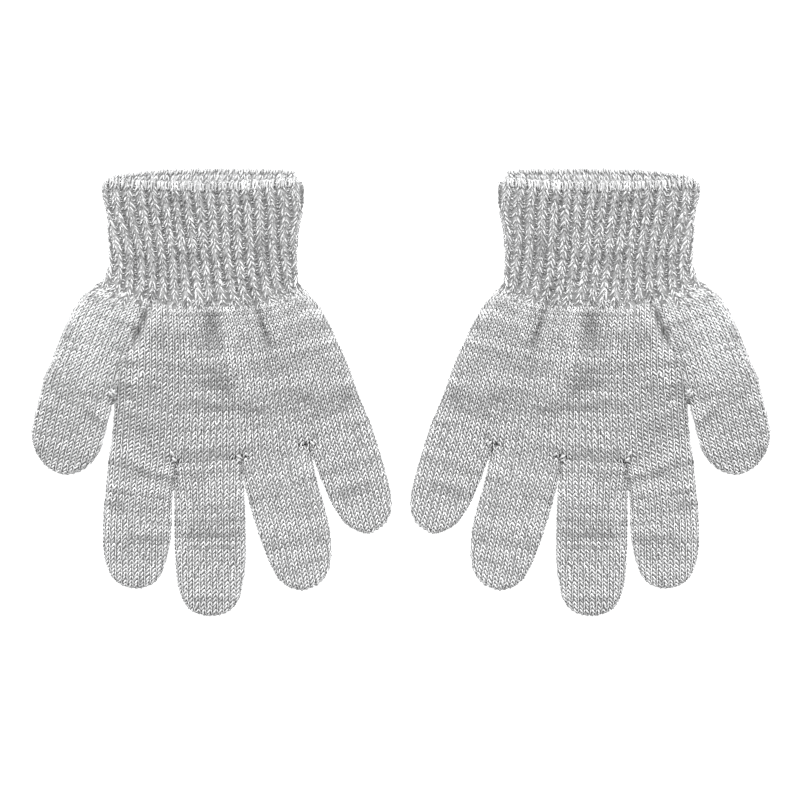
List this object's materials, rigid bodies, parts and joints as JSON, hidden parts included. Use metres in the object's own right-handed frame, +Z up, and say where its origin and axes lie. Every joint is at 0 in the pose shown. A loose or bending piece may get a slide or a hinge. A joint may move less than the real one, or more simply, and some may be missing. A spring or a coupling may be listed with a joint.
{
  "type": "pair of knitted gloves",
  "caption": "Pair of child's stretch-knit gloves with ribbed cuffs and fingers in grey melange yarn, laid flat with the palms down.",
  "frame": {"origin": "on the surface that the gloves lie on, midway between the two gloves and halfway along their length", "axes": "+X across the pair from the left glove to the right glove, +Y from the fingertips towards the cuffs, +Z up from the surface"},
  "size_m": [0.2318, 0.1404, 0.0077],
  "materials": {
    "cuff_knit": "matte ribbed knit in light grey melange yarn",
    "hand_knit": "matte stocking-stitch knit in light grey melange yarn",
    "finger_knit": "matte stocking-stitch knit in light grey melange yarn"
  },
  "bodies": {
    "root": {"left_cuff": "cuff_knit", "left_heel": "hand_knit", "left_palm": "hand_knit", "left_thumb": "finger_knit", "left_index": "finger_knit", "left_middle": "finger_knit", "left_ring": "finger_knit", "left_little": "finger_knit", "right_cuff": "cuff_knit", "right_heel": "hand_knit", "right_palm": "hand_knit", "right_thumb": "finger_knit", "right_index": "finger_knit", "right_middle": "finger_knit", "right_ring": "finger_knit", "right_little": "finger_knit"}
  },
  "joints": []
}
